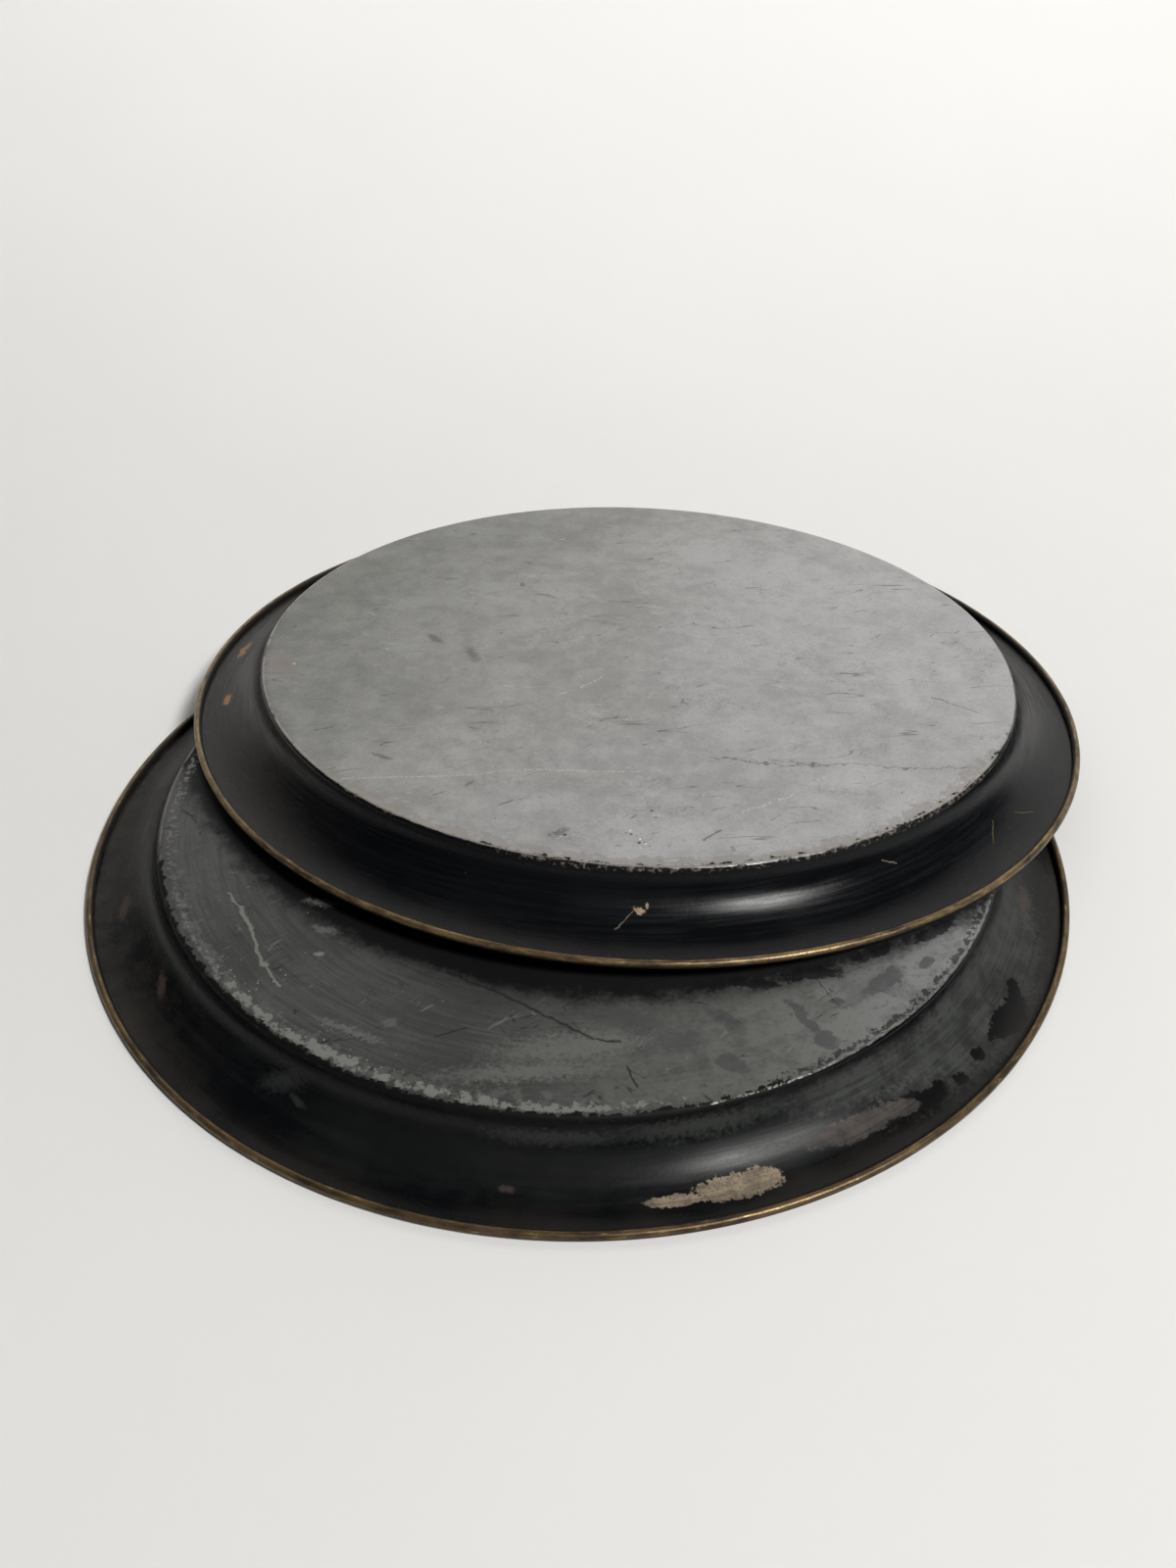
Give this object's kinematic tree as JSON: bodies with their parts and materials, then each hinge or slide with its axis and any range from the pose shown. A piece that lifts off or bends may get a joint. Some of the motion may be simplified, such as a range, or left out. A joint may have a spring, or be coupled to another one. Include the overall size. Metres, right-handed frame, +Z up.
{
  "type": "evaporating dish",
  "caption": "Pair of large shallow round black japanned sheet-steel dishes with wired rims, lying face down, the upper leaning on the lower.",
  "frame": {"origin": "centre of the pair seen from above, at the height of the bench that the lower rim stands on", "axes": "+Z up, away from the bench; +Y is roughly the way the upper dish is pushed back; +X to the right"},
  "size_m": [0.5326, 0.6096, 0.0609],
  "materials": {
    "lower_coat": "worn satin black japan, scratched and chipped to pale metal",
    "upper_coat": "satin black japan, rubbed grey on the flat base",
    "wire": "dull drawn wire"
  },
  "bodies": {
    "lower": {"lower_dish": "lower_coat", "lower_rim_wire": "wire"},
    "upper": {"upper_dish": "upper_coat", "upper_rim_wire": "wire"}
  },
  "joints": [
    {"name": "upper_lift", "type": "slide", "parent": "lower", "child": "upper", "axis": [0, 0, 1], "range_m": [0, 0.3]}
  ]
}
